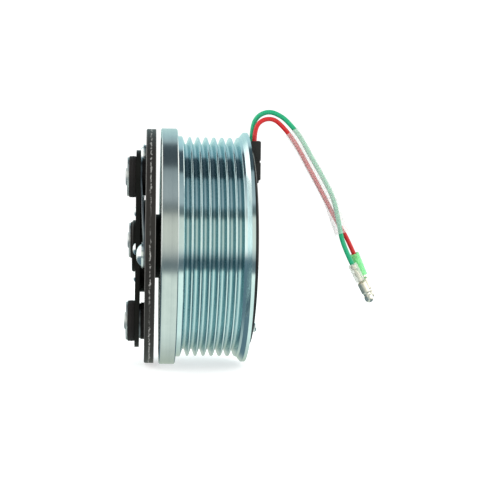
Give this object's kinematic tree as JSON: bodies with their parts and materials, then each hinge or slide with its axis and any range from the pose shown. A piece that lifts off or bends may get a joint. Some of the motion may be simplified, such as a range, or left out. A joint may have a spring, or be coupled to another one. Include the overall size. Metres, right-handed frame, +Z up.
{
  "type": "electromagnetic clutch",
  "caption": "Compressor clutch: grooved belt pulley on a double-row bearing, field coil with two leads behind it, sprung armature on a three-armed hub in front.",
  "frame": {"origin": "middle of the bearing bore, on the clutch axis, where the clutch sits on the compressor's nose", "axes": "+X along the clutch axis from the hub towards the field coil, +Z up towards the lead holder, +Y completes the right-handed frame"},
  "size_m": [0.1133, 0.1046, 0.1144],
  "materials": {
    "black_paint": "black paint, satin",
    "nylon": "natural nylon",
    "copper": "enamelled copper wire",
    "epoxy": "cast epoxy",
    "bright_steel": "zinc-plated steel",
    "black_plastic": "moulded black plastic",
    "red_insulation": "red PVC",
    "green_insulation": "green PVC",
    "clear_sleeve": "milky clear PVC",
    "green_sleeve": "clear green PVC",
    "brass": "tinned brass",
    "bearing_steel": "ground bearing steel",
    "seal_rubber": "moulded rubber",
    "spring_steel": "bright spring steel",
    "turned_steel": "turned steel",
    "zinc_plate": "blue-white zinc plate",
    "lining": "friction lining",
    "black_phosphate": "black phosphate",
    "damper_rubber": "moulded rubber"
  },
  "bodies": {
    "stator": {"coil_shell": "black_paint", "coil_plate": "black_paint", "coil_bobbin": "nylon", "coil_winding": "copper", "coil_potting": "epoxy", "locating_pin": "bright_steel", "lead_holder": "black_plastic", "red_lead": "red_insulation", "green_lead": "green_insulation", "lead_sleeve": "clear_sleeve", "red_terminal": "brass", "green_terminal": "brass", "red_terminal_sleeve": "green_sleeve", "green_terminal_sleeve": "clear_sleeve", "bearing_inner_ring": "bearing_steel"},
    "pulley": {"rotor": "turned_steel", "belt_rim": "zinc_plate", "friction_lining": "lining", "bearing_outer_ring": "bearing_steel", "bearing_seal_front": "seal_rubber", "bearing_seal_rear": "seal_rubber", "bearing_retaining_ring": "spring_steel"},
    "ball_set": {"bearing_balls_front": "bearing_steel", "bearing_balls_rear": "bearing_steel", "ball_cage_front": "nylon", "ball_cage_rear": "nylon"},
    "hub": {"hub": "turned_steel", "hub_plate": "black_phosphate", "hub_rivets": "bright_steel", "gap_shims": "spring_steel", "damper_rubber_1": "damper_rubber", "damper_cap_1": "bright_steel", "damper_rivet_1": "bright_steel", "stop_pad_1": "damper_rubber", "leaf_spring_1": "spring_steel", "damper_rubber_2": "damper_rubber", "damper_cap_2": "bright_steel", "damper_rivet_2": "bright_steel", "stop_pad_2": "damper_rubber", "leaf_spring_2": "spring_steel", "damper_rubber_3": "damper_rubber", "damper_cap_3": "bright_steel", "damper_rivet_3": "bright_steel", "stop_pad_3": "damper_rubber", "leaf_spring_3": "spring_steel"},
    "armature": {"armature_plate": "black_phosphate", "armature_rivets": "bright_steel", "rivet_washers": "bright_steel"}
  },
  "joints": [
    {"name": "pulley_spin", "type": "hinge", "parent": "stator", "child": "pulley", "pos_m": [0, 0, 0], "axis": [1, 0, 0], "continuous": true},
    {"name": "ball_set_spin", "type": "hinge", "parent": "stator", "child": "ball_set", "pos_m": [0, 0, 0], "axis": [1, 0, 0], "continuous": true},
    {"name": "hub_spin", "type": "hinge", "parent": "stator", "child": "hub", "pos_m": [0, 0, 0], "axis": [1, 0, 0], "continuous": true},
    {"name": "armature_slide", "type": "slide", "parent": "hub", "child": "armature", "axis": [1, 0, 0], "range_m": [0, 0.0022], "stiffness_N_per_m": 8000, "springref_m": -0.0005, "deforming": ["leaf_spring_1", "leaf_spring_2", "leaf_spring_3"]}
  ],
  "couplings": [
    {"joint": "ball_set_spin", "follows": "pulley_spin", "ratio": 0.569}
  ]
}
